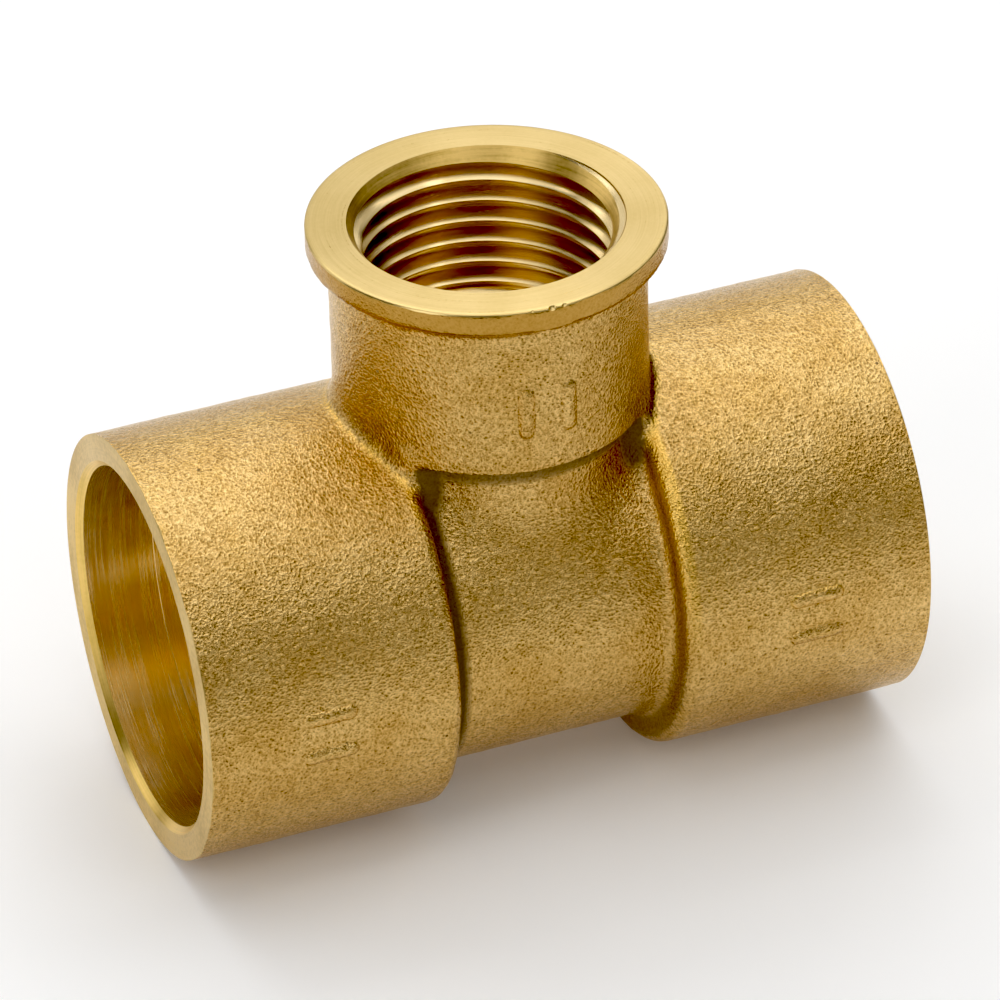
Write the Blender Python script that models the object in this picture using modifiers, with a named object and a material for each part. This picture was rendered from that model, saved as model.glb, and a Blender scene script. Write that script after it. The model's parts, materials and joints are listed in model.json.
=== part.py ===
"""Cast brass reducing tee: two end-feed sockets for 28 mm copper tube in line, and a 1/2 inch internal thread on the branch.

The whole fitting is one sand casting whose ends and bores are machined. Metres, +Z up. X runs along the tube run and +Z
up the branch. The origin lies under the crossing of the two axes, at the height of the lowest points of the sockets.
"""

import math

import bmesh
import bpy
from mathutils import Matrix

MM = 0.001

# The run, about an axis along X
RUN_HALF_LENGTH = 29.15 * MM
SOCKET_RADIUS = 16.6 * MM
BARREL_RADIUS = 13.9 * MM
SHOULDER_PLACE = 9.1 * MM
SHOULDER_ROUNDING = 1.5 * MM
TUBE_BORE_RADIUS = 14.05 * MM
TUBE_DEPTH = 18.6 * MM
RUN_WATERWAY_RADIUS = 12.2 * MM
MOUTH_CHAMFER = 0.5 * MM

# The branch, about +Z. Heights are above the run's axis
BRANCH_HEIGHT = 31.0 * MM
FLANGE_RADIUS = 13.6 * MM
FLANGE_EDGE = 0.1 * MM
FLANGE_BAND = 1.8 * MM
FLANGE_DEPTH = 3.0 * MM
COLLAR_RADIUS = 12.0 * MM
COLLAR_FOOT = 15.8 * MM
COLLAR_FOOT_ROUNDING = 0.5 * MM
NECK_RADIUS = 10.85 * MM
BRANCH_WATERWAY_RADIUS = 8.6 * MM

# The Rp 1/2 thread of the branch: a 55 degree form with 14 threads to the inch
THREAD_PITCH = 25.4 / 14 * MM
THREAD_MAJOR_RADIUS = 20.955 / 2 * MM
THREAD_MINOR_RADIUS = 18.631 / 2 * MM
THREAD_HALF_ANGLE = math.radians(27.5)
THREAD_BORE_DEPTH = 14.6 * MM
THREAD_MOUTH_DEPTH = 1.4 * MM
FIRST_ROOT_DEPTH = 1.48 * MM
TURNS_ABOVE_FIRST_ROOT = 2
THREAD_TURNS = 8.5
CUTTER_CLEARANCE = 0.215 * MM

# Raised cast marks, plain bars in pairs
MARK_LENGTH = 4.4 * MM
MARK_WIDTH = 1.3 * MM
MARK_PITCH = 3.4 * MM
MARK_RISE = 0.3 * MM
MARK_ROOT = 1.0 * MM
SOCKET_MARK_PLACE = 19.7 * MM
COLLAR_MARK_HEIGHT = 21.0 * MM

RUN_AXIS_HEIGHT = SOCKET_RADIUS
OVERRUN = 1.0 * MM
TURNED_STEPS = 72
THREAD_STEPS = 48
ARC_STEPS = 5


def clear_scene():
    for obj in list(bpy.data.objects):
        bpy.data.objects.remove(obj, do_unlink=True)


def new_collection(name):
    collection = bpy.data.collections.new(name)
    bpy.context.scene.collection.children.link(collection)
    return collection


def brass_material():
    material = bpy.data.materials.new("cast_brass")
    material.use_nodes = True
    shader = material.node_tree.nodes["Principled BSDF"]
    shader.inputs["Base Color"].default_value = (0.62, 0.40, 0.13, 1.0)
    shader.inputs["Metallic"].default_value = 1.0
    shader.inputs["Roughness"].default_value = 0.42
    return material


def arc(centre, radius, start, end):
    """Points of an arc in the (radius, height) plane, with angles in degrees from the outward direction."""
    angles = [math.radians(start + (end - start) * step / ARC_STEPS) for step in range(ARC_STEPS + 1)]
    return [(centre[0] + radius * math.cos(angle), centre[1] + radius * math.sin(angle)) for angle in angles]


def turned(name, profile, collection, steps=TURNED_STEPS):
    """A solid of revolution about its own Z. The profile lists (radius, height) from its top down the outer side."""
    mesh = bpy.data.meshes.new(name)
    edges = [(index, index + 1) for index in range(len(profile) - 1)]
    mesh.from_pydata([(radius, 0.0, height) for radius, height in profile], edges, [])
    obj = bpy.data.objects.new(name, mesh)
    collection.objects.link(obj)
    screw = obj.modifiers.new("turn", "SCREW")
    screw.axis = "Z"
    screw.steps = steps
    screw.render_steps = steps
    screw.use_merge_vertices = True
    screw.merge_threshold = 0.000001
    return obj


def as_cutter(obj):
    obj.hide_render = True
    obj.display_type = "WIRE"
    return obj


def lay_along_run(obj):
    """Turns a piece's own Z to +X and puts it on the run's axis."""
    obj.rotation_euler = (0.0, math.pi / 2, 0.0)
    obj.location = (0.0, 0.0, RUN_AXIS_HEIGHT)
    return obj


def add_boolean(obj, other, operation):
    modifier = obj.modifiers.new(f"{operation.lower()}_{other.name}", "BOOLEAN")
    modifier.operation = operation
    modifier.object = other
    modifier.solver = "EXACT"


def run_casting(collection):
    """The outside of both sockets and of the barrel between them."""
    rounding_centre = (SOCKET_RADIUS - SHOULDER_ROUNDING, SHOULDER_PLACE + SHOULDER_ROUNDING)
    upper_half = [(0.0, RUN_HALF_LENGTH), (SOCKET_RADIUS, RUN_HALF_LENGTH)]
    upper_half += arc(rounding_centre, SHOULDER_ROUNDING, 0, -90)
    upper_half += [(BARREL_RADIUS, SHOULDER_PLACE)]
    lower_half = [(radius, -height) for radius, height in reversed(upper_half)]
    return lay_along_run(turned("tee_body", upper_half + lower_half, collection))


def branch_casting(collection):
    """The flange, the collar round the thread and the neck that runs down into the barrel."""
    rounding_centre = (COLLAR_RADIUS - COLLAR_FOOT_ROUNDING, COLLAR_FOOT + COLLAR_FOOT_ROUNDING)
    profile = [
        (0.0, BRANCH_HEIGHT),
        (FLANGE_RADIUS - FLANGE_EDGE, BRANCH_HEIGHT),
        (FLANGE_RADIUS, BRANCH_HEIGHT - FLANGE_EDGE),
        (FLANGE_RADIUS, BRANCH_HEIGHT - FLANGE_BAND),
        (COLLAR_RADIUS, BRANCH_HEIGHT - FLANGE_DEPTH),
    ]
    profile += arc(rounding_centre, COLLAR_FOOT_ROUNDING, 0, -90)
    profile += [(NECK_RADIUS, COLLAR_FOOT), (NECK_RADIUS, 0.0), (0.0, 0.0)]
    branch = turned("branch_casting", profile, collection)
    branch.location.z = RUN_AXIS_HEIGHT
    return as_cutter(branch)


def cast_mark(name, size, matrix, collection):
    """A plain raised bar, with the given size along X, Y and Z before the matrix places it."""
    mesh = bpy.data.meshes.new(name)
    bar = bmesh.new()
    bmesh.ops.create_cube(bar, size=1.0, matrix=matrix @ Matrix.Diagonal((*size, 1.0)))
    bar.to_mesh(mesh)
    bar.free()
    obj = bpy.data.objects.new(name, mesh)
    collection.objects.link(obj)
    return as_cutter(obj)


def cast_marks(collection):
    """Two bars along the run on each socket and two upright bars on the collar, all on the -Y side."""
    marks = []
    depth = MARK_RISE + MARK_ROOT
    for side, name in ((-1, "left"), (1, "right")):
        for row in (-1, 1):
            tilt = row * MARK_PITCH / 2 / SOCKET_RADIUS
            matrix = Matrix.Translation((side * SOCKET_MARK_PLACE, 0.0, RUN_AXIS_HEIGHT))
            matrix = matrix @ Matrix.Rotation(tilt, 4, "X")
            matrix = matrix @ Matrix.Translation((0.0, -(SOCKET_RADIUS + MARK_RISE - depth / 2), 0.0))
            row_name = "lower" if row > 0 else "upper"
            marks.append(cast_mark(f"{name}_mark_{row_name}", (MARK_LENGTH, depth, MARK_WIDTH), matrix, collection))
    for row, name in ((-1, "left"), (1, "right")):
        turn = row * MARK_PITCH / 2 / COLLAR_RADIUS
        matrix = Matrix.Translation((0.0, 0.0, RUN_AXIS_HEIGHT + COLLAR_MARK_HEIGHT))
        matrix = matrix @ Matrix.Rotation(turn, 4, "Z")
        matrix = matrix @ Matrix.Translation((0.0, -(COLLAR_RADIUS + MARK_RISE - depth / 2), 0.0))
        marks.append(cast_mark(f"collar_mark_{name}", (MARK_WIDTH, depth, MARK_LENGTH), matrix, collection))
    return marks


def run_bore(collection):
    """The bore from end to end: a chamfered mouth, a tube socket with its stop, and the waterway between the stops."""
    stop = RUN_HALF_LENGTH - TUBE_DEPTH
    mouth_radius = TUBE_BORE_RADIUS + MOUTH_CHAMFER + OVERRUN
    upper_half = [
        (0.0, RUN_HALF_LENGTH + OVERRUN),
        (mouth_radius, RUN_HALF_LENGTH + OVERRUN),
        (TUBE_BORE_RADIUS, RUN_HALF_LENGTH - MOUTH_CHAMFER),
        (TUBE_BORE_RADIUS, stop),
        (RUN_WATERWAY_RADIUS, stop),
    ]
    lower_half = [(radius, -height) for radius, height in reversed(upper_half)]
    return as_cutter(lay_along_run(turned("run_bore", upper_half + lower_half, collection)))


def branch_bore(collection):
    """The bore down the branch: a conical mouth, the thread's minor diameter and the waterway into the run."""
    mouth_slope = (THREAD_MAJOR_RADIUS - THREAD_MINOR_RADIUS) / THREAD_MOUTH_DEPTH
    profile = [
        (0.0, BRANCH_HEIGHT + OVERRUN),
        (THREAD_MAJOR_RADIUS + OVERRUN * mouth_slope, BRANCH_HEIGHT + OVERRUN),
        (THREAD_MINOR_RADIUS, BRANCH_HEIGHT - THREAD_MOUTH_DEPTH),
        (THREAD_MINOR_RADIUS, BRANCH_HEIGHT - THREAD_BORE_DEPTH),
        (BRANCH_WATERWAY_RADIUS, BRANCH_HEIGHT - THREAD_BORE_DEPTH),
        (BRANCH_WATERWAY_RADIUS, 0.0),
        (0.0, 0.0),
    ]
    bore = turned("branch_bore", profile, collection, THREAD_STEPS)
    bore.location.z = RUN_AXIS_HEIGHT
    return as_cutter(bore)


def thread_groove(collection):
    """The helical groove between the crests of the right-hand internal thread, wound downwards from above the face."""
    crest_flat = THREAD_PITCH / 2 - (THREAD_MAJOR_RADIUS - THREAD_MINOR_RADIUS) * math.tan(THREAD_HALF_ANGLE)
    inner_radius = THREAD_MINOR_RADIUS - CUTTER_CLEARANCE
    inner_half = crest_flat / 2 + (THREAD_MAJOR_RADIUS - inner_radius) * math.tan(THREAD_HALF_ANGLE)
    start_depth = FIRST_ROOT_DEPTH - TURNS_ABOVE_FIRST_ROOT * THREAD_PITCH
    height = RUN_AXIS_HEIGHT + BRANCH_HEIGHT - start_depth
    groove = bmesh.new()
    corners = (
        (THREAD_MAJOR_RADIUS, crest_flat / 2),
        (THREAD_MAJOR_RADIUS, -crest_flat / 2),
        (inner_radius, -inner_half),
        (inner_radius, inner_half),
    )
    section = groove.faces.new([groove.verts.new((0.0, radius, height + rise)) for radius, rise in corners])
    steps = round(THREAD_TURNS * THREAD_STEPS)
    bmesh.ops.spin(
        groove,
        geom=[section, *section.edges, *section.verts],
        cent=(0.0, 0.0, 0.0),
        axis=(0.0, 0.0, 1.0),
        dvec=(0.0, 0.0, -THREAD_PITCH / THREAD_STEPS),
        angle=-2 * math.pi * THREAD_TURNS,
        steps=steps,
        use_duplicate=False,
    )
    bmesh.ops.recalc_face_normals(groove, faces=groove.faces)
    mesh = bpy.data.meshes.new("thread_groove")
    groove.to_mesh(mesh)
    groove.free()
    obj = bpy.data.objects.new("thread_groove", mesh)
    collection.objects.link(obj)
    return as_cutter(obj)


def main():
    clear_scene()
    parts = new_collection("reducing_tee")
    cutters = new_collection("reducing_tee_cutters")

    tee_body = run_casting(parts)
    tee_body.data.materials.append(brass_material())
    for solid in (branch_casting(cutters), *cast_marks(cutters)):
        add_boolean(tee_body, solid, "UNION")
    for bore in (run_bore(cutters), branch_bore(cutters), thread_groove(cutters)):
        add_boolean(tee_body, bore, "DIFFERENCE")


main()
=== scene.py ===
"""Looks of the cast brass reducing tee: a sand-cast skin, machined ends, tube sockets and a pipe thread.

The casting is built once as a smooth blended form, then machined with cutters whose faces keep their own
finish, so that it stays one closed body. Lengths are in metres. The run's axis is parallel to X, and the
branch points up.
"""

import json
import math

import bmesh
import bpy
import numpy as np
from mathutils import Matrix, Vector, noise


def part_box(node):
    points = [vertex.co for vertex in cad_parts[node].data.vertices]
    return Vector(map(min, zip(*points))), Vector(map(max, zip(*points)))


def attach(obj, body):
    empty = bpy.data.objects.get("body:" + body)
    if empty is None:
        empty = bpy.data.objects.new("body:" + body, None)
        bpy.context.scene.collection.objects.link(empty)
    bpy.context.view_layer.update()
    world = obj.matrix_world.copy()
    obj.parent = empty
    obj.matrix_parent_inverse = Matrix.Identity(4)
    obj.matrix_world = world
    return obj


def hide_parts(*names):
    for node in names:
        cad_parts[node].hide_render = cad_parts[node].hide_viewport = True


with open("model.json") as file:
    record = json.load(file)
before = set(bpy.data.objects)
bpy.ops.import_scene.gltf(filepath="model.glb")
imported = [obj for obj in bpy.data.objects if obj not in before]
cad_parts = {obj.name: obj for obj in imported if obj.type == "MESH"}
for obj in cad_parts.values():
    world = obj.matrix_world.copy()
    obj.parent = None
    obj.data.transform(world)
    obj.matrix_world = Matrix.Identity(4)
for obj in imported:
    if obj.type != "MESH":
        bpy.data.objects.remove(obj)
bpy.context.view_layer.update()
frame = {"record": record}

MM = 0.001

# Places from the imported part
NODE = "tee_body"
LOW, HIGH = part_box(NODE)
MOUNTS = {mount["name"]: mount for mount in frame["record"]["mounts"]}
RUN_END = MOUNTS["socket_end_right"]["pos_m"][0]
BRANCH_TOP = MOUNTS["branch_face"]["pos_m"][2]
SOCKET_RADIUS = HIGH.y
AXIS_HEIGHT = LOW.z + SOCKET_RADIUS
BRANCH_HEIGHT = BRANCH_TOP - AXIS_HEIGHT

# The run, about its axis
BARREL_RADIUS = 13.9 * MM
SHOULDER_PLACE = 9.1 * MM
SHOULDER_ROUNDING = 0.9 * MM
TUBE_BORE_RADIUS = 14.05 * MM
TUBE_DEPTH = 18.6 * MM
RUN_WATERWAY_RADIUS = 12.2 * MM
MOUTH_CHAMFER = 0.5 * MM
TOOL_STEP_DEPTH = 6.1 * MM
TOOL_STEP_RISE = 0.03 * MM

# The branch
FLANGE_RADIUS = 13.6 * MM
FLANGE_BAND = 1.8 * MM
FLANGE_DEPTH = 3.0 * MM
COLLAR_RADIUS = 12.0 * MM
COLLAR_FOOT = 15.8 * MM
NECK_RADIUS = 10.85 * MM
BRANCH_WATERWAY_RADIUS = 8.6 * MM

# The thread: 14 turns to the inch with flanks at 55 degrees to each other
THREAD_PITCH = 25.4 / 14 * MM
THREAD_MAJOR_RADIUS = 20.955 / 2 * MM
THREAD_MINOR_RADIUS = 18.631 / 2 * MM
THREAD_HALF_ANGLE = math.radians(27.5)
THREAD_ROUNDING = 0.137 * THREAD_PITCH
THREAD_BORE_DEPTH = 14.6 * MM
THREAD_LENGTH = 13.3 * MM
THREAD_MOUTH_DEPTH = 1.4 * MM
FIRST_ROOT_DEPTH = 1.48 * MM

# Raised cast marks
MARK_LENGTH = 4.4 * MM
MARK_WIDTH = 1.3 * MM
MARK_PITCH = 3.4 * MM
MARK_RISE = 0.3 * MM
SOCKET_MARK_PLACE = 19.7 * MM
COLLAR_MARK_HEIGHT = 21.0 * MM
MARK_STEPS = 40
MARK_SECTION = (0.15, 0.4, 0.6, 0.75, 0.88, 1.0, 1.15, 1.3)

# How the casting's surface is made. Each fillet is a width over which two forms blend.
OVERRUN = 1.5 * MM
SKIN_VOXEL = 0.365 * MM
SETTLING_ROUNDS = 4
SHOULDER_FILLET = 1.3 * MM
NECK_FILLET = 2.4 * MM
FOOT_FILLET = 0.35 * MM
COLLAR_FILLET = 0.9 * MM
FILLET_PLACES = (8.0 * MM, 10.0 * MM)
EDGE_ROUNDING = 0.25 * MM
SHARP_ANGLE = math.radians(35)
TURNED_STEPS = 192

# The four webs between the collar's foot and the sockets' shoulders, in the quarters about the branch
WEB_FILLET = 1.3 * MM
WEB_RADIUS = 1.3 * MM
WEB_TURN = math.radians(37)
WEB_PLACE = (10.6 * MM * math.cos(WEB_TURN), 10.6 * MM * math.sin(WEB_TURN))
WEB_TOP = COLLAR_FOOT + 0.9 * MM
WEB_STEPS = 24

# The casting's small unevenness: (size of the waves, their height)
WAVE = (3.2 * MM, 0.03 * MM)
LUMP = (0.9 * MM, 0.03 * MM)
END_WEAR = (1.5 * MM, 0.07 * MM)
END_WEAR_DEPTH = 1.5 * MM

# Small dents in the front of the flange's edge: (turn in degrees, size)
NICKS = ((-90.5, 0.42 * MM), (-86.5, 0.28 * MM), (-97.0, 0.22 * MM))

# Painted shade, with some dirt, in the corners, under the collar's foot, by the webs and round the raised
# bars: its share falls with the distance from the corner
HOLLOW_REACH = 1.5 * MM
CORNER_SHADE_AND_DIRT_PEAK = 1.75
CORNER_SHADE_AND_DIRT_WIDTH = 1.3 * MM
UNDER_FOOT = 0.4 * MM
SHOULDER_FACE = 0.4 * MM
SHOULDER_FACE_EDGE = 0.2 * MM
FACE_SHADE_AND_DIRT = 0.60
POCKET_SHADE_AND_DIRT = 0.85
FOOT_SHADE_AND_DIRT = 0.78
POCKET_SHARE = 1.6
POCKET_WIDTH = 1.2 * MM
POCKET_HEIGHTS = (10 * MM, 12 * MM)
MARK_SHADE_AND_DIRT = 0.44
MARK_SHADE_AND_DIRT_WIDTH = 0.5 * MM

# Where the shoulders are rubbed and carry a painted highlight on their upper parts: how far in the form is
# felt, and between which heights
RUBBED_HIGHLIGHT_REACH = 1.3 * MM
RUBBED_HIGHLIGHT_GAIN = 8.0
RUBBED_HIGHLIGHT_SKIN = 0.15 * MM
RUBBED_HIGHLIGHT_START = SHOULDER_PLACE - 0.2 * MM
RUBBED_HIGHLIGHT_LEFT = (12.0 * MM, 14.0 * MM)
RUBBED_HIGHLIGHT_RIGHT = (-1.0 * MM, 8.0 * MM)
# A painted highlight on a rubbed scuff by the collar
SCUFF_HIGHLIGHT_TURN = math.radians(-157)
SCUFF_HIGHLIGHT_SIZE = 0.8 * MM

# How an outer edge rolls over from the cast side to the cut face: (inset, fall) in shares of its width
EDGE_ROLL = [(0.0, 0.42), (0.06, 0.24), (0.2, 0.11), (0.45, 0.04), (0.75, 0.01), (1.2, 0.0)]
END_EDGE = 0.1 * MM
FLANGE_EDGE = 0.4 * MM

# The finishes, in the order of their materials
CAST, END_FACE, BRANCH_FACE, BORE, THREAD, MOUTH, CHAMFER = range(7)
RUN_AXIS, BRANCH_AXIS = 0, 2

# The cast skin: the sizes of its grain, and its tones
GRAIN_SIZE = 0.17 * MM
DIMPLE_SIZE = 0.27 * MM
LUMP_SIZE = 0.7 * MM
CLOUD_SIZE = 5.0 * MM
PIT_SPACING = 3.1 * MM
DIMPLE_SHARE = 0.35
LUMP_SHARE = 0.15
CAST_GRAIN_RISE = 0.17 * MM
CAST_ROUGHNESS = (0.28, 0.16)
CAST_TONES = [(0.30, (0.31, 0.19, 0.066)), (0.45, (0.60, 0.40, 0.162)), (0.62, (0.80, 0.56, 0.250))]
CAST_CLOUDS = [(0.35, (0.90, 0.86, 0.80)), (0.60, (1.0, 1.0, 1.0))]
# A painted highlight on the rubbed places
RUBBED_HIGHLIGHT_TONE = (0.86, 0.56, 0.16)
RUBBED_HIGHLIGHT_SHARE = 0.7
RUBBED_HIGHLIGHT_SMOOTHNESS = 0.25
BAND_TONE = (0.45, 0.265, 0.085)
BAND_SHARE = 0.8
BAND_FADE = 0.8 * MM
# Painted shade in the corners and dirt in the pits: one dark tone, with less metal and more roughness
SHADE_AND_DIRT_TONE = (0.16, 0.11, 0.052)
CORNER_SHADE_AND_DIRT_SHARE = (0.0, 0.96)
CORNER_SHADE_AND_DIRT_HOLLOWS = (0.4, 0.9)
SHADE_AND_DIRT_METAL = 0.3
SHADE_AND_DIRT_ROUGHNESS = 0.6
PIT_DIRT = 0.8
PIT_EDGE = (0.03, 0.05)
RELIEF_STRENGTH = (1.0, 0.35)

# Between which values most of a noise lies
NOISE_RANGE = (0.3, 0.7)

# The turned finishes: the tones of their rings and of the metal between
PALE = [(0.38, (0.55, 0.395, 0.165)), (0.56, (0.75, 0.565, 0.27))]
YELLOW = [(0.36, (0.62, 0.46, 0.195)), (0.60, (0.72, 0.55, 0.26))]
AMBER = [(0.38, (0.90, 0.655, 0.30)), (0.58, (0.99, 0.85, 0.56))]
BROWN = [(0.36, (0.78, 0.60, 0.31)), (0.60, (0.88, 0.70, 0.39))]
GOLD = [(0.38, (0.64, 0.45, 0.14)), (0.58, (0.88, 0.63, 0.24))]
DULL = [(0.40, (0.48, 0.33, 0.11)), (0.56, (0.71, 0.505, 0.20))]
SPECKLE_SIZE = 0.35 * MM
TURNED_CLOUD_SIZE = 6.0 * MM
TURNED_CLOUD_SHARE = 0.4
RING_UNEVENNESS = 1.6
TURNED_ANISOTROPY = 0.7
QUARTER_TURN = 0.25

# The studio. Each panel is (elevation, azimuth, width, height, brightness), and faces the part.
PANELS = {
    "ceiling": (90, 0, 0.42, 0.42, 1.2),
    "high_right": (58, 5, 0.34, 0.22, 1.15),
    "high_back": (58, 90, 0.34, 0.22, 1.85),
    "high_front": (58, 260, 0.42, 0.22, 1.0),
    "back_right_wall": (25, 52, 0.16, 0.38, 1.15),
    "back_wall": (25, 88, 0.42, 0.38, 0.85),
    "back_left_wall": (25, 138, 0.26, 0.38, 1.15),
    "left_wall": (25, 180, 0.22, 0.38, 0.15),
    "front_left_box": (25, 210, 0.19, 0.38, 2.0),
    "front_box": (36, 270, 0.17, 0.19, 0.85),
    "front_right_box": (36, 298, 0.20, 0.19, 1.1),
    "right_front_wall": (25, 330, 0.19, 0.38, 0.25),
    "right_wall": (36, 15, 0.34, 0.19, 0.55),
}
PANEL_DISTANCE = 0.45
WORLD_BRIGHTNESS = 0.01
FLOOR_SIZE = 2.0
FLOOR_TONE = 0.95
FLOOR_ROUGHNESS = 0.9
FLOOR_GLOW = 0.09
BLACK_LEVEL = 0.06

# The camera
CAMERA_AZIMUTH = math.radians(20.68)
CAMERA_ELEVATION = math.radians(33.76)
CAMERA_ROLL = math.radians(-1.61)
CAMERA_DISTANCE = 573.7 * MM
CAMERA_OFFSET = (0.3 * MM, 4.7 * MM)
FIELD_WIDTH_AT_PART = 76.86 * MM
SENSOR_WIDTH = 36.0


# ---------------------------------------------------------------- materials


class Material:
    """A node material. Inputs take another node's output, which is linked, or a value, which is set."""

    def __init__(self, name):
        self.data = bpy.data.materials.new(name)
        self.data.use_nodes = True
        self.tree = self.data.node_tree
        self.shader = self.tree.nodes["Principled BSDF"]

    def put(self, socket, value):
        if isinstance(value, bpy.types.NodeSocket):
            self.tree.links.new(value, socket)
        else:
            socket.default_value = value

    def finish(self, name, value):
        self.put(self.shader.inputs[name], value)

    def node(self, kind, inputs, **settings):
        """A new node. The inputs' keys are names or places."""
        node = self.tree.nodes.new(f"ShaderNode{kind}")
        for name, value in settings.items():
            setattr(node, name, value)
        for key, value in inputs.items():
            self.put(node.inputs[key], value)
        return node

    def place(self):
        return self.node("TexCoord", {}).outputs["Object"]

    def attribute(self, name):
        return self.node("Attribute", {}, attribute_name=name).outputs["Fac"]

    def noise(self, place, size, detail, roughness):
        inputs = {"Vector": place, "Scale": 1 / size, "Detail": detail, "Roughness": roughness}
        return self.node("TexNoise", inputs).outputs["Fac"]

    def cells(self, place, size):
        return self.node("TexVoronoi", {"Vector": place, "Scale": 1 / size}).outputs["Distance"]

    def math(self, operation, first, second):
        return self.node("Math", {0: first, 1: second}, operation=operation).outputs["Value"]

    def vector(self, operation, first, second):
        return self.node("VectorMath", {0: first, 1: second}, operation=operation).outputs["Vector"]

    def mixed(self, share, first, second):
        return self.node("Mix", {"Factor": share, "A": first, "B": second}).outputs["Result"]

    def blended(self, share, first, second, blend="MIX"):
        """Two colours through one Mix node, whose colour sockets have the places used here."""
        second = (*second, 1.0) if isinstance(second, tuple) else second
        node = self.node("Mix", {}, data_type="RGBA", blend_type=blend)
        for place, value in ((0, share), (6, first), (7, second)):
            self.put(node.inputs[place], value)
        return node.outputs[2]

    def ranged(self, value, limits, between):
        """Carries a value from one pair of limits to another, and holds it at the ends."""
        inputs = {"Value": value, "From Min": between[0], "From Max": between[1]}
        inputs |= {"To Min": limits[0], "To Max": limits[1]}
        return self.node("MapRange", inputs).outputs["Result"]

    def ramp(self, value, stops):
        node = self.node("ValToRGB", {"Fac": value})
        elements = node.color_ramp.elements
        while len(elements) < len(stops):
            elements.new(0.5)
        for element, (position, colour) in zip(elements, stops):
            element.position = position
            element.color = (*colour, 1.0)
        return node.outputs["Color"]

    def relief(self, height, rise, strength):
        inputs = {"Height": height, "Distance": rise, "Strength": strength}
        self.finish("Normal", self.node("Bump", inputs).outputs["Normal"])


def cast_skin():
    """A shot-blasted sand casting: fine grain, painted shade with some dirt in the corners, rubbed edges
    with a painted highlight and a smoother flange band.
    """
    skin = Material("cast_skin")
    place = skin.place()
    grain = skin.noise(place, GRAIN_SIZE, 2.0, 0.6)
    dimples = skin.cells(place, DIMPLE_SIZE)
    lumps = skin.noise(place, LUMP_SIZE, 2.0, 0.5)
    clouds = skin.noise(place, CLOUD_SIZE, 3.0, 0.55)
    pits = skin.cells(place, PIT_SPACING)
    rubbed = skin.attribute("rubbed")
    height = skin.node("SeparateXYZ", {"Vector": place}).outputs["Z"]
    band_foot = AXIS_HEIGHT + BRANCH_HEIGHT - FLANGE_DEPTH
    on_band = skin.ranged(height, (0.0, 1.0), (band_foot, band_foot + BAND_FADE))
    # Painted shade with some dirt in the corners, and dirt in the pits
    shade_share_in_corners = skin.ranged(skin.attribute("hollow"), CORNER_SHADE_AND_DIRT_SHARE, CORNER_SHADE_AND_DIRT_HOLLOWS)
    shade_and_dirt = skin.math("MAXIMUM", shade_share_in_corners, skin.ranged(pits, (PIT_DIRT, 0.0), PIT_EDGE))

    relief = skin.mixed(LUMP_SHARE, skin.mixed(DIMPLE_SHARE, grain, dimples), lumps)
    tone = skin.ramp(relief, CAST_TONES)
    tone = skin.blended(1.0, tone, skin.ramp(clouds, CAST_CLOUDS), "MULTIPLY")
    # Painted highlight on the rubbed shoulders and the scuff
    tone = skin.blended(skin.math("MULTIPLY", rubbed, RUBBED_HIGHLIGHT_SHARE), tone, RUBBED_HIGHLIGHT_TONE)
    tone = skin.blended(skin.math("MULTIPLY", on_band, BAND_SHARE), tone, BAND_TONE)
    # The painted shade and dirt darken the base colour
    skin.finish("Base Color", skin.blended(shade_and_dirt, tone, SHADE_AND_DIRT_TONE))
    skin.finish("Metallic", skin.ranged(shade_and_dirt, (1.0, SHADE_AND_DIRT_METAL), (0.0, 1.0)))
    rough = skin.ranged(relief, CAST_ROUGHNESS, NOISE_RANGE)
    skin.finish("Roughness", skin.math("MAXIMUM", rough, skin.math("MULTIPLY", shade_and_dirt, SHADE_AND_DIRT_ROUGHNESS)))
    smoothed = skin.math("MAXIMUM", on_band, skin.math("MULTIPLY", rubbed, RUBBED_HIGHLIGHT_SMOOTHNESS))
    skin.relief(relief, CAST_GRAIN_RISE, skin.ranged(smoothed, RELIEF_STRENGTH, (0.0, 1.0)))
    return skin.data


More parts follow.
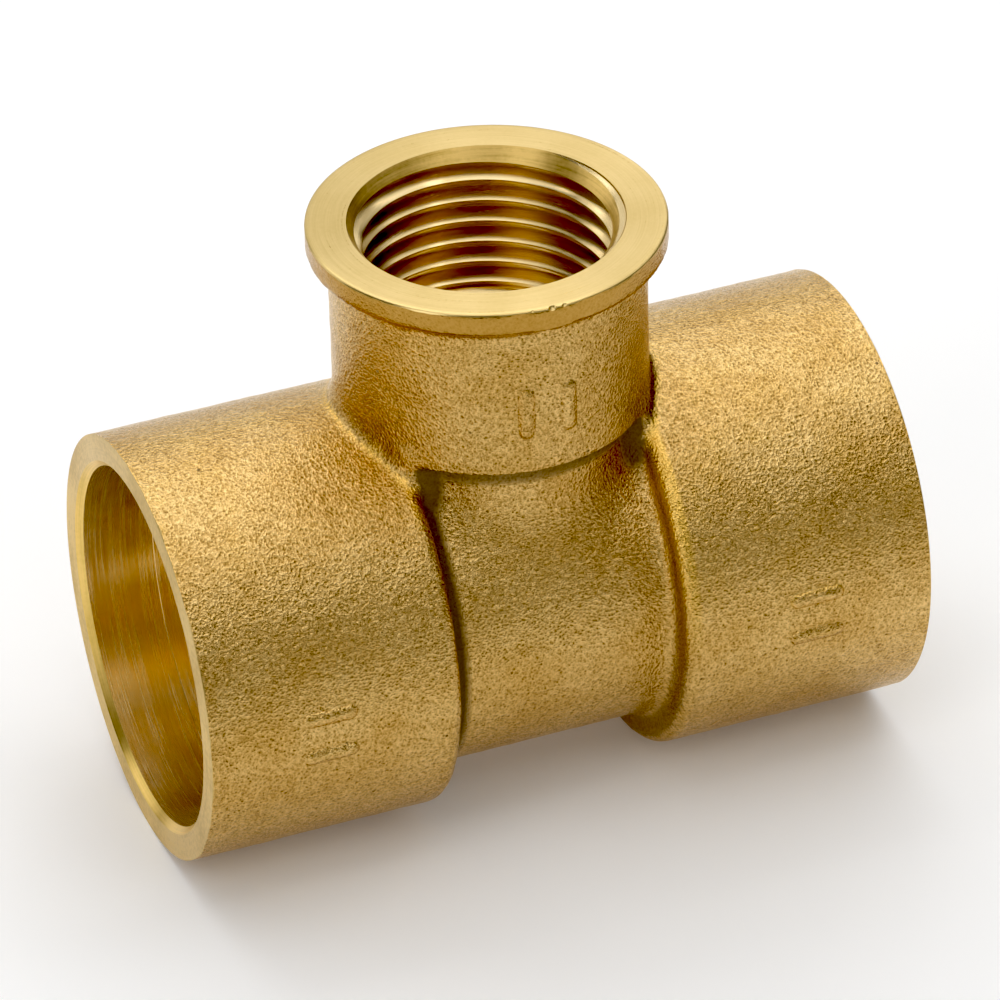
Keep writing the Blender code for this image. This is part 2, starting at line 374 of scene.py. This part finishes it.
def turned_finish(name, axis, tones, roughness, groove, rise, by_radius, metal=1.0, grit=0.25):
    """A surface cut on a lathe: fine rings about the run's axis or the branch's, uneven round each turn."""
    turned = Material(name)
    turned.finish("Metallic", metal)
    along_axis = tuple(1.0 if index == axis else 0.0 for index in range(3))
    place = turned.place()
    centred = turned.vector("SUBTRACT", place, (0.0, 0.0, AXIS_HEIGHT))
    across = turned.vector("MULTIPLY", centred, tuple(1.0 - share for share in along_axis))
    outward = turned.node("VectorMath", {0: across}, operation="NORMALIZE").outputs["Vector"]
    if by_radius:
        run = turned.node("VectorMath", {0: across}, operation="LENGTH").outputs["Value"]
    else:
        run = turned.node("SeparateXYZ", {"Vector": centred}).outputs["XYZ"[axis]]
    count = turned.math("MULTIPLY", run, 1 / groove)
    rings_at = turned.node("CombineXYZ", {"XYZ"[axis]: count}).outputs["Vector"]
    round_turn = turned.node("VectorMath", {0: outward, "Scale": RING_UNEVENNESS}, operation="SCALE")
    rings_place = turned.vector("ADD", round_turn.outputs["Vector"], rings_at)

    rings = turned.noise(rings_place, 1.0, 3.0, 0.65)
    marks = turned.mixed(grit, rings, turned.noise(place, SPECKLE_SIZE, 2.0, 0.6))
    shade = turned.mixed(TURNED_CLOUD_SHARE, marks, turned.noise(place, TURNED_CLOUD_SIZE, 2.0, 0.5))
    turned.finish("Base Color", turned.ramp(shade, tones))
    turned.finish("Roughness", turned.ranged(marks, roughness, NOISE_RANGE))
    turned.relief(marks, rise, 1.0)
    turned.finish("Tangent", turned.vector("CROSS_PRODUCT", along_axis, outward))
    turned.finish("Anisotropic", TURNED_ANISOTROPY)
    turned.finish("Anisotropic Rotation", QUARTER_TURN)
    return turned.data


def finishes():
    """The materials in the order of the finish numbers."""
    return [
        cast_skin(),
        turned_finish("faced_end", RUN_AXIS, PALE, (0.40, 0.52), 0.16 * MM, 0.008 * MM, True, grit=0.6),
        turned_finish("faced_branch", BRANCH_AXIS, YELLOW, (0.26, 0.38), 0.12 * MM, 0.002 * MM, True),
        turned_finish(
            "bored_run", RUN_AXIS, AMBER, (0.20, 0.30), 0.14 * MM, 0.008 * MM, False, metal=0.92, grit=0.05
        ),
        turned_finish(
            "cut_thread", BRANCH_AXIS, BROWN, (0.20, 0.28), 0.10 * MM, 0.004 * MM, False, grit=0.08
        ),
        turned_finish("cut_mouth", BRANCH_AXIS, DULL, (0.34, 0.46), 0.16 * MM, 0.02 * MM, False),
        turned_finish("cut_chamfer", RUN_AXIS, GOLD, (0.30, 0.42), 0.12 * MM, 0.006 * MM, True),
    ]


# ---------------------------------------------------------------- the casting


def smooth_min(a, b, width):
    """The smaller of two distances, blended where they are within the width of each other."""
    overlap = np.maximum(width - np.abs(a - b), 0.0) / width
    return np.minimum(a, b) - overlap * overlap * width / 4


def polygon_distance(across, along, corners):
    """Signed distance to a closed polygon in the (across, along) plane, negative inside."""
    points = np.stack([across, along], axis=1)
    nearest = np.full(len(points), np.inf)
    inside = np.zeros(len(points), bool)
    for start, end in zip(corners, corners[1:] + corners[:1]):
        start, end = np.array(start), np.array(end)
        edge = end - start
        offset = points - start
        share = np.clip(offset @ edge / (edge @ edge), 0.0, 1.0)
        nearest = np.minimum(nearest, np.linalg.norm(offset - share[:, None] * edge, axis=1))
        crosses = (start[1] > points[:, 1]) != (end[1] > points[:, 1])
        if edge[1] != 0.0:
            at = start[0] + (points[:, 1] - start[1]) / edge[1] * edge[0]
            inside ^= crosses & (points[:, 0] < at)
    return np.where(inside, -nearest, nearest)


def run_distance(points):
    """Signed distance to the two sockets and the barrel between them."""
    x, y, z = points.T
    run_radius = np.hypot(y, z)
    rounding = SHOULDER_ROUNDING
    to_shoulder = SHOULDER_PLACE + rounding - np.abs(x)
    to_side = run_radius - (SOCKET_RADIUS - rounding)
    corner = np.hypot(np.maximum(to_shoulder, 0.0), np.maximum(to_side, 0.0))
    sockets = corner + np.minimum(np.maximum(to_shoulder, to_side), 0.0) - rounding
    run = smooth_min(sockets, run_radius - BARREL_RADIUS, SHOULDER_FILLET)
    return np.maximum(run, np.abs(x) - (RUN_END + OVERRUN))


def web_side_distance(points):
    """Distance to the side of the nearest web."""
    x, y, z = points.T
    return np.hypot(np.abs(x) - WEB_PLACE[0], np.abs(y) - WEB_PLACE[1]) - WEB_RADIUS


def casting_distance(points):
    """Signed distance to the unmachined casting, about the crossing of the two axes."""
    x, y, z = points.T
    branch_radius = np.hypot(x, y)
    run = run_distance(points)

    soft = EDGE_ROUNDING
    top = BRANCH_HEIGHT + OVERRUN
    collar = polygon_distance(
        branch_radius,
        z,
        [
            (-1.0, top),
            (FLANGE_RADIUS - soft, top),
            (FLANGE_RADIUS - soft, BRANCH_HEIGHT - FLANGE_BAND + soft / 2),
            (COLLAR_RADIUS - soft, BRANCH_HEIGHT - FLANGE_DEPTH + soft / 2),
            (COLLAR_RADIUS - soft, COLLAR_FOOT + soft),
            (-1.0, COLLAR_FOOT + soft),
        ],
    ) - soft
    neck = np.maximum(np.maximum(branch_radius - NECK_RADIUS, z - COLLAR_FOOT - 2 * soft), -z)
    web = np.maximum(np.maximum(web_side_distance(points), z - WEB_TOP), -z)
    low_part = smooth_min(smooth_min(run, neck, NECK_FILLET), web, WEB_FILLET)
    fillet = np.interp(np.abs(x), FILLET_PLACES, (FOOT_FILLET, COLLAR_FILLET))
    return smooth_min(low_part, collar, fillet)


def casting_normal(points):
    step = 0.01 * MM
    slopes = []
    for axis in range(3):
        shift = np.zeros(3)
        shift[axis] = step
        slopes.append(casting_distance(points + shift) - casting_distance(points - shift))
    normal = np.stack(slopes, axis=1)
    return normal / np.maximum(np.linalg.norm(normal, axis=1, keepdims=True), 1e-12)


def rough_casting():
    """The overlapping turned forms of the casting, wrapped in one even net of small quads."""
    run = turned_mesh(
        [
            (0.0, RUN_END + OVERRUN),
            (SOCKET_RADIUS, RUN_END + OVERRUN),
            (SOCKET_RADIUS, SHOULDER_PLACE + SHOULDER_ROUNDING),
            (SOCKET_RADIUS - SHOULDER_ROUNDING, SHOULDER_PLACE),
            (BARREL_RADIUS, SHOULDER_PLACE),
            (BARREL_RADIUS, -SHOULDER_PLACE),
            (SOCKET_RADIUS - SHOULDER_ROUNDING, -SHOULDER_PLACE),
            (SOCKET_RADIUS, -SHOULDER_PLACE - SHOULDER_ROUNDING),
            (SOCKET_RADIUS, -RUN_END - OVERRUN),
            (0.0, -RUN_END - OVERRUN),
        ],
        CAST,
        along_run=True,
    )
    branch = turned_mesh(
        [
            (0.0, BRANCH_HEIGHT + OVERRUN),
            (FLANGE_RADIUS, BRANCH_HEIGHT + OVERRUN),
            (FLANGE_RADIUS, BRANCH_HEIGHT - FLANGE_BAND),
            (COLLAR_RADIUS, BRANCH_HEIGHT - FLANGE_DEPTH),
            (COLLAR_RADIUS, COLLAR_FOOT),
            (NECK_RADIUS, COLLAR_FOOT),
            (NECK_RADIUS, 0.0),
            (0.0, 0.0),
        ],
        CAST,
    )
    run.from_mesh(mesh_of(branch, "branch_form"))
    for side, front in ((1, 1), (1, -1), (-1, 1), (-1, -1)):
        bmesh.ops.create_cone(
            run,
            cap_ends=True,
            segments=WEB_STEPS,
            radius1=WEB_RADIUS,
            radius2=WEB_RADIUS,
            depth=WEB_TOP,
            matrix=Matrix.Translation((side * WEB_PLACE[0], front * WEB_PLACE[1], WEB_TOP / 2)),
        )
    obj = new_object("casting", mesh_of(run, "casting"))
    remesh = obj.modifiers.new("net", "REMESH")
    remesh.mode = "VOXEL"
    remesh.voxel_size = SKIN_VOXEL
    apply_modifiers(obj)
    return obj


def settle_on_casting(obj):
    """Moves each point of the net onto the blended casting, then roughens it as a sand mould does."""
    mesh = obj.data
    points = np.empty(len(mesh.vertices) * 3)
    mesh.vertices.foreach_get("co", points)
    points = points.reshape(-1, 3)
    for _ in range(SETTLING_ROUNDS):
        points -= casting_normal(points) * casting_distance(points)[:, None]
    normal = casting_normal(points)
    rise = np.array([skin_rise(Vector(point)) for point in points])
    points += normal * rise[:, None]
    mesh.vertices.foreach_set("co", points.ravel())
    mesh.update()


def skin_rise(point):
    wave, lump, wear = (noise.noise(point / size) * height for size, height in (WAVE, LUMP, END_WEAR))
    near_end = max(1.0 - max(RUN_END - abs(point.x), 0.0) / END_WEAR_DEPTH, 0.0)
    return wave + lump + wear * near_end


def raised_bar(place):
    """A worn raised bar with round ends. The given function puts (along, across, rise) on the casting."""
    form = bmesh.new()
    reach = (MARK_LENGTH - MARK_WIDTH) / 2
    rings = []
    for share in MARK_SECTION:
        ring = []
        for step in range(MARK_STEPS):
            turn = 2 * math.pi * (step + 0.5) / MARK_STEPS
            away = share * MARK_WIDTH / 2
            along = math.copysign(reach, math.cos(turn)) + away * math.cos(turn)
            ring.append(form.verts.new(place(along, away * math.sin(turn), MARK_RISE * (1 - share**2))))
        rings.append(ring)
    for inner, outer in zip(rings, rings[1:]):
        for step in range(MARK_STEPS):
            after = (step + 1) % MARK_STEPS
            form.faces.new([inner[step], outer[step], outer[after], inner[after]])
    caps = [form.faces.new(rings[0]), form.faces.new(rings[-1])]
    bmesh.ops.triangulate(form, faces=caps)
    bmesh.ops.recalc_face_normals(form, faces=form.faces)
    return form


def cast_marks():
    """Two bars along the run on each socket, and two upright ones on the collar, all on the -Y side."""

    def on_socket(middle, offset):
        def place(along, across, rise):
            turn = (offset + across) / SOCKET_RADIUS
            radius = SOCKET_RADIUS + rise
            return middle + along, -radius * math.cos(turn), radius * math.sin(turn)

        return place

    def on_collar(offset):
        def place(along, across, rise):
            turn = (offset + across) / COLLAR_RADIUS
            radius = COLLAR_RADIUS + rise
            return radius * math.sin(turn), -radius * math.cos(turn), COLLAR_MARK_HEIGHT + along

        return place

    places = []
    for offset in (-MARK_PITCH / 2, MARK_PITCH / 2):
        places += [on_socket(side * SOCKET_MARK_PLACE, offset) for side in (-1, 1)]
        places.append(on_collar(offset))
    return [raised_bar(place) for place in places]


def vertex_values(mesh, data, name):
    values = np.empty(len(mesh.vertices) * 3)
    data.foreach_get(name, values)
    return values.reshape(-1, 3)


def mark_distance(points):
    """How far each point is from the outline of the nearest raised bar, measured over the casting."""
    x, y, z = points.T
    reach = (MARK_LENGTH - MARK_WIDTH) / 2
    socket_across = np.arctan2(z, -y) * SOCKET_RADIUS
    collar_across = np.arctan2(x, -y) * COLLAR_RADIUS
    nearest = np.full(len(points), 1.0)
    for offset in (-MARK_PITCH / 2, MARK_PITCH / 2):
        on_collar = (z > COLLAR_FOOT, z - COLLAR_MARK_HEIGHT, collar_across)
        on_socket = (z < COLLAR_FOOT, np.abs(x) - SOCKET_MARK_PLACE, socket_across)
        for place, along, across in (on_collar, on_socket):
            away = np.hypot(np.maximum(np.abs(along) - reach, 0.0), across - offset) - MARK_WIDTH / 2
            nearest = np.where(place & (y < 0.0), np.minimum(nearest, np.abs(away)), nearest)
    return nearest


def shade_and_dirt_in_corners(points, normals):
    """How much painted shade, with some dirt, each point holds, from 0 to 1."""
    x, y, z = points.T
    radius = np.hypot(y, z)
    below = COLLAR_FOOT - z
    inward = SHOULDER_PLACE - np.abs(x)
    # Painted shade where the casting closes in round the point
    hollow = 1 - casting_distance(points + normals * HOLLOW_REACH) / HOLLOW_REACH

    # A painted shaded band on the neck under the collar's foot
    on_neck = np.hypot(x, y) < COLLAR_RADIUS - UNDER_FOOT
    shade_and_dirt_under_foot = np.minimum(CORNER_SHADE_AND_DIRT_PEAK - below / CORNER_SHADE_AND_DIRT_WIDTH, FOOT_SHADE_AND_DIRT)
    hollow = np.maximum(hollow, np.where((below > 0.0) & on_neck & (inward > 0.0), shade_and_dirt_under_foot, 0.0))

    # Painted shade in the left shoulder's corner, and on the right shoulder's face
    low_side = radius < SOCKET_RADIUS - SHOULDER_FACE
    at_shoulder = (below > 0.0) & (inward > -SHOULDER_FACE) & low_side
    shade_and_dirt_left = CORNER_SHADE_AND_DIRT_PEAK - np.hypot(inward, radius - BARREL_RADIUS) / CORNER_SHADE_AND_DIRT_WIDTH
    shade_and_dirt_right = FACE_SHADE_AND_DIRT * np.clip((SHOULDER_FACE - inward) / SHOULDER_FACE_EDGE, 0.0, 1.0)
    hollow = np.maximum(hollow, np.where(at_shoulder, np.where(x < 0.0, shade_and_dirt_left, shade_and_dirt_right), 0.0))

    # Painted shade by the webs, under the collar's foot
    by_web = np.clip(POCKET_SHARE - web_side_distance(points) / POCKET_WIDTH, 0.0, 1.0)
    pocket = POCKET_SHADE_AND_DIRT * by_web * np.interp(z, POCKET_HEIGHTS, (0.0, 1.0))
    hollow = np.maximum(hollow, np.where((below > 0.0) & (inward > 0.0), pocket, 0.0))
    # Painted shade round the outline of each raised bar
    return np.maximum(hollow, MARK_SHADE_AND_DIRT * (1 - mark_distance(points) / MARK_SHADE_AND_DIRT_WIDTH))


def rubbed_and_highlighted(points, normals):
    """How strong the rubbed wear and its painted highlight are at each point, from 0 to 1, on the shoulders
    and at the scuff by the collar.
    """
    x, _, z = points.T
    rubbed = (1 + run_distance(points - normals * RUBBED_HIGHLIGHT_REACH) / RUBBED_HIGHLIGHT_REACH) * RUBBED_HIGHLIGHT_GAIN
    on_shoulder = (run_distance(points) < RUBBED_HIGHLIGHT_SKIN) & (np.abs(x) > RUBBED_HIGHLIGHT_START)
    # The painted highlight lies only on the upper part of each shoulder
    upper = np.where(x < 0.0, np.interp(z, RUBBED_HIGHLIGHT_LEFT, (0, 1)), np.interp(z, RUBBED_HIGHLIGHT_RIGHT, (0, 1)))
    rubbed = np.where(on_shoulder, np.clip(rubbed, 0.0, 1.0) * upper, 0.0)
    across = COLLAR_RADIUS * math.sin(SCUFF_HIGHLIGHT_TURN)
    scuff_highlight = (COLLAR_RADIUS * math.cos(SCUFF_HIGHLIGHT_TURN), across, math.sqrt(SOCKET_RADIUS**2 - across**2))
    return np.maximum(rubbed, np.exp(-((np.linalg.norm(points - scuff_highlight, axis=1) / SCUFF_HIGHLIGHT_SIZE) ** 2)))


def note_shade_highlight_and_wear(mesh):
    """Stores the painted shade with dirt, and the rubbed places with their painted highlight, on the mesh,
    for the cast skin's material.
    """
    points = vertex_values(mesh, mesh.vertices, "co")
    normals = vertex_values(mesh, mesh.vertex_normals, "vector")
    for name, shares in (
        ("hollow", shade_and_dirt_in_corners(points, normals)),
        ("rubbed", rubbed_and_highlighted(points, normals)),
    ):
        attribute = mesh.attributes.new(name, "FLOAT", "POINT")
        attribute.data.foreach_set("value", np.clip(shares, 0.0, 1.0))


# ---------------------------------------------------------------- cutters


def new_object(name, data):
    obj = bpy.data.objects.new(name, data)
    bpy.context.scene.collection.objects.link(obj)
    return obj


def mesh_of(form, name):
    mesh = bpy.data.meshes.new(name)
    form.to_mesh(mesh)
    form.free()
    return mesh


def apply_modifiers(obj):
    graph = bpy.context.evaluated_depsgraph_get()
    result = bpy.data.meshes.new_from_object(obj.evaluated_get(graph))
    obj.modifiers.clear()
    obj.data = result


def turned_mesh(profile, finish, along_run=False, steps=TURNED_STEPS):
    """A closed bmesh turned about Z, or about X, from (radius, height) points down its outer side."""
    form = bmesh.new()
    finishes = finish if isinstance(finish, (list, tuple)) else [finish] * (len(profile) - 1)
    rings = []
    for radius, height in profile:
        if radius == 0.0:
            rings.append([form.verts.new((0.0, 0.0, height))] * steps)
            continue
        ring = []
        for step in range(steps):
            turn = 2 * math.pi * step / steps
            ring.append(form.verts.new((radius * math.cos(turn), radius * math.sin(turn), height)))
        rings.append(ring)
    for upper, lower, index in zip(rings, rings[1:], finishes):
        for step in range(steps):
            after = (step + 1) % steps
            corners = [upper[after], upper[step], lower[step], lower[after]]
            face = form.faces.new(list(dict.fromkeys(corners)))
            face.material_index = index
            face.smooth = True
    if along_run:
        bmesh.ops.transform(form, matrix=Matrix.Rotation(math.pi / 2, 4, "Y"), verts=form.verts)
    return form


def facing_cutters():
    """What the lathe takes off the three ends, with a fine break of each outer edge."""
    reach = SOCKET_RADIUS + 2 * OVERRUN
    cutters = []
    for end, radius, along_run, side, finish, roll in (
        (RUN_END, SOCKET_RADIUS, True, 1, END_FACE, END_EDGE),
        (RUN_END, SOCKET_RADIUS, True, -1, END_FACE, END_EDGE),
        (BRANCH_HEIGHT, FLANGE_RADIUS, False, 1, BRANCH_FACE, FLANGE_EDGE),
    ):
        rolled = [(radius - inset * roll, end - fall * roll) for inset, fall in EDGE_ROLL]
        profile = [
            (0.0, end + 2 * OVERRUN),
            (reach, end + 2 * OVERRUN),
            (reach, rolled[0][1] - (reach - radius) * 2),
            *rolled,
            (0.0, end),
        ]
        if side < 0:
            profile = [(r, -h) for r, h in reversed(profile)]
        cutters.append(turned_mesh(profile, finish, along_run))
    return cutters


def nick_cutters():
    """Small dents in the front of the flange's edge."""
    cutters = []
    for turn, size in NICKS:
        form = bmesh.new()
        turn = math.radians(turn)
        rim = FLANGE_RADIUS + 0.3 * size
        place = Matrix.Translation((rim * math.cos(turn), rim * math.sin(turn), BRANCH_HEIGHT + 0.2 * size))
        bmesh.ops.create_icosphere(form, subdivisions=2, radius=size, matrix=place)
        for face in form.faces:
            face.material_index = BRANCH_FACE
        cutters.append(form)
    return cutters


def run_bore():
    stop = RUN_END - TUBE_DEPTH
    step = RUN_END - TOOL_STEP_DEPTH
    half = [
        (0.0, RUN_END + OVERRUN),
        (TUBE_BORE_RADIUS + MOUTH_CHAMFER + OVERRUN, RUN_END + OVERRUN),
        (TUBE_BORE_RADIUS, RUN_END - MOUTH_CHAMFER),
        (TUBE_BORE_RADIUS, step + TOOL_STEP_RISE),
        (TUBE_BORE_RADIUS - TOOL_STEP_RISE, step),
        (TUBE_BORE_RADIUS - TOOL_STEP_RISE, stop),
        (RUN_WATERWAY_RADIUS, stop),
    ]
    finish = [CHAMFER] * 2 + [BORE] * 9 + [CHAMFER] * 2
    return turned_mesh(half + [(r, -h) for r, h in reversed(half)], finish, along_run=True)


def branch_bore():
    slope = (THREAD_MAJOR_RADIUS - THREAD_MINOR_RADIUS) / THREAD_MOUTH_DEPTH
    clear = 0.05 * MM
    profile = [
        (0.0, BRANCH_HEIGHT + OVERRUN),
        (THREAD_MAJOR_RADIUS + OVERRUN * slope, BRANCH_HEIGHT + OVERRUN),
        (BRANCH_WATERWAY_RADIUS, BRANCH_HEIGHT - (THREAD_MAJOR_RADIUS - BRANCH_WATERWAY_RADIUS) / slope),
        (BRANCH_WATERWAY_RADIUS, BRANCH_HEIGHT - THREAD_LENGTH + THREAD_PITCH),
        (THREAD_MINOR_RADIUS + clear, BRANCH_HEIGHT - THREAD_LENGTH + THREAD_PITCH),
        (THREAD_MINOR_RADIUS + clear, BRANCH_HEIGHT - THREAD_BORE_DEPTH),
        (BRANCH_WATERWAY_RADIUS, BRANCH_HEIGHT - THREAD_BORE_DEPTH),
        (BRANCH_WATERWAY_RADIUS, 0.0),
        (0.0, 0.0),
    ]
    return turned_mesh(profile, [MOUTH, MOUTH] + [THREAD] * (len(profile) - 3))


def thread_radius(along):
    """The thread's radius, by the distance along the axis from the middle of a root."""
    along = abs((along / THREAD_PITCH + 0.5) % 1.0 - 0.5) * THREAD_PITCH
    from_crest = THREAD_PITCH / 2 - along
    reach = THREAD_ROUNDING * math.cos(THREAD_HALF_ANGLE)
    if along < reach:
        return THREAD_MAJOR_RADIUS - THREAD_ROUNDING + math.sqrt(THREAD_ROUNDING**2 - along**2)
    if from_crest < reach:
        return THREAD_MINOR_RADIUS + THREAD_ROUNDING - math.sqrt(THREAD_ROUNDING**2 - from_crest**2)
    share = (along - reach) / (THREAD_PITCH / 2 - 2 * reach)
    inset = THREAD_ROUNDING * (1 - math.sin(THREAD_HALF_ANGLE))
    return THREAD_MAJOR_RADIUS - inset - share * (THREAD_MAJOR_RADIUS - THREAD_MINOR_RADIUS - 2 * inset)


def thread_plug(steps=128, rows_per_turn=14):
    """A male thread that cuts the female one. Its rows of points follow the helix, so edges stay clean."""
    form = bmesh.new()
    start = -2 * THREAD_PITCH
    turns = math.ceil((THREAD_LENGTH - start) / THREAD_PITCH) + 1
    back_turn = math.pi / 2
    grid = {}

    def point(row, column):
        if column == steps:
            return point(row - rows_per_turn, 0)
        if (row, column) not in grid:
            turn = 2 * math.pi * column / steps
            along = row * THREAD_PITCH / rows_per_turn
            depth = start + FIRST_ROOT_DEPTH - (turn - back_turn) / (2 * math.pi) * THREAD_PITCH + along
            radius = thread_radius(along)
            fade = min(max((depth - THREAD_LENGTH) / THREAD_PITCH + 1.0, 0.0), 1.0)
            radius += (THREAD_MINOR_RADIUS - radius) * fade
            place = (radius * math.cos(turn), radius * math.sin(turn), BRANCH_HEIGHT - depth)
            grid[row, column] = form.verts.new(place)
        return grid[row, column]

    last = turns * rows_per_turn
    for column in range(steps):
        for row in range(last):
            places = ((row, column + 1), (row, column), (row + 1, column), (row + 1, column + 1))
            face = form.faces.new([point(*place) for place in places])
            face.material_index = THREAD
            face.smooth = True
    edges = [edge for edge in form.edges if edge.is_boundary]
    filled = bmesh.ops.holes_fill(form, edges=edges, sides=0)
    for face in filled["faces"]:
        face.material_index = THREAD
    bmesh.ops.triangulate(form, faces=filled["faces"])
    bmesh.ops.recalc_face_normals(form, faces=form.faces)
    return form


def machine(obj, materials):
    steps = [("UNION", form) for form in cast_marks()]
    steps += [("DIFFERENCE", form) for form in (*facing_cutters(), *nick_cutters())]
    steps += [("DIFFERENCE", form) for form in (run_bore(), branch_bore(), thread_plug())]
    made = []
    for index, (operation, form) in enumerate(steps):
        tool = new_object(f"tool_{index}", mesh_of(form, f"tool_{index}"))
        for material in materials:
            tool.data.materials.append(material)
        change = obj.modifiers.new(tool.name, "BOOLEAN")
        change.operation = operation
        change.object = tool
        change.solver = "MANIFOLD"
        made.append(tool)
    apply_modifiers(obj)
    for tool in made:
        bpy.data.objects.remove(tool)


def build_tee():
    materials = finishes()
    tee = rough_casting()
    settle_on_casting(tee)
    tee.data.materials.clear()
    for material in materials:
        tee.data.materials.append(material)
    machine(tee, materials)
    note_shade_highlight_and_wear(tee.data)
    tee.data.transform(Matrix.Translation((0.0, 0.0, AXIS_HEIGHT)))
    tee.data.shade_smooth()
    tee.data.set_sharp_from_angle(angle=SHARP_ANGLE)
    tee.name = "brass_tee"
    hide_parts(NODE)
    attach(tee, "root")


# ---------------------------------------------------------------- the studio


def build_floor():
    form = bmesh.new()
    bmesh.ops.create_grid(form, x_segments=1, y_segments=1, size=FLOOR_SIZE)
    floor = new_object("floor", mesh_of(form, "floor"))
    floor.location.z = LOW.z
    pale = Material("pale_floor")
    pale.finish("Base Color", (FLOOR_TONE, FLOOR_TONE, FLOOR_TONE, 1.0))
    pale.finish("Roughness", FLOOR_ROUGHNESS)
    pale.finish("Emission Color", (1.0, 1.0, 1.0, 1.0))
    pale.finish("Emission Strength", FLOOR_GLOW)
    floor.data.materials.append(pale.data)


def build_lights():
    """A light tent: plain panels round the part, at one distance."""
    world = bpy.data.worlds.new("studio")
    bpy.context.scene.world = world
    world.use_nodes = True
    background = world.node_tree.nodes["Background"]
    background.inputs["Color"].default_value = (1.0, 1.0, 1.0, 1.0)
    background.inputs["Strength"].default_value = WORLD_BRIGHTNESS
    middle = Vector((0.0, 0.0, AXIS_HEIGHT))
    for name, (elevation, azimuth, width, height, brightness) in PANELS.items():
        light = bpy.data.lights.new(name, "AREA")
        light.shape = "RECTANGLE"
        light.size, light.size_y = width, height
        light.energy = math.pi * width * height * brightness
        el, az = math.radians(elevation), math.radians(azimuth)
        away = Vector((math.cos(el) * math.cos(az), math.cos(el) * math.sin(az), math.sin(el)))
        panel = new_object(name, light)
        panel.location = middle + away * PANEL_DISTANCE
        panel.rotation_euler = (middle - panel.location).to_track_quat("-Z", "Y").to_euler()


def build_camera():
    flat = math.cos(CAMERA_ELEVATION)
    east, north = math.sin(CAMERA_AZIMUTH), math.cos(CAMERA_AZIMUTH)
    ahead = Vector((east * flat, north * flat, -math.sin(CAMERA_ELEVATION)))
    right = Vector((north, -east, 0.0))
    up = right.cross(ahead)
    turn = Matrix.Rotation(CAMERA_ROLL, 3, -ahead)
    right, up = turn @ right, turn @ up
    data = bpy.data.cameras.new("camera")
    data.sensor_width = SENSOR_WIDTH
    data.lens = data.sensor_width * CAMERA_DISTANCE / FIELD_WIDTH_AT_PART
    data.clip_start = 0.01
    camera = new_object("camera", data)
    place = Vector((0.0, 0.0, AXIS_HEIGHT)) - ahead * CAMERA_DISTANCE
    place += right * CAMERA_OFFSET[0] + up * CAMERA_OFFSET[1]
    axes = Matrix((right, up, -ahead)).transposed()
    camera.matrix_world = Matrix.Translation(place) @ axes.to_4x4()
    bpy.context.scene.camera = camera


def set_tones():
    """A plain view whose darkest level is lifted out, as in the photograph."""
    view = bpy.context.scene.view_settings
    view.view_transform = "Standard"
    view.use_curve_mapping = True
    view.curve_mapping.black_level = (BLACK_LEVEL, BLACK_LEVEL, BLACK_LEVEL)
    view.curve_mapping.update()


build_camera()
build_tee()
build_floor()
build_lights()
set_tones()
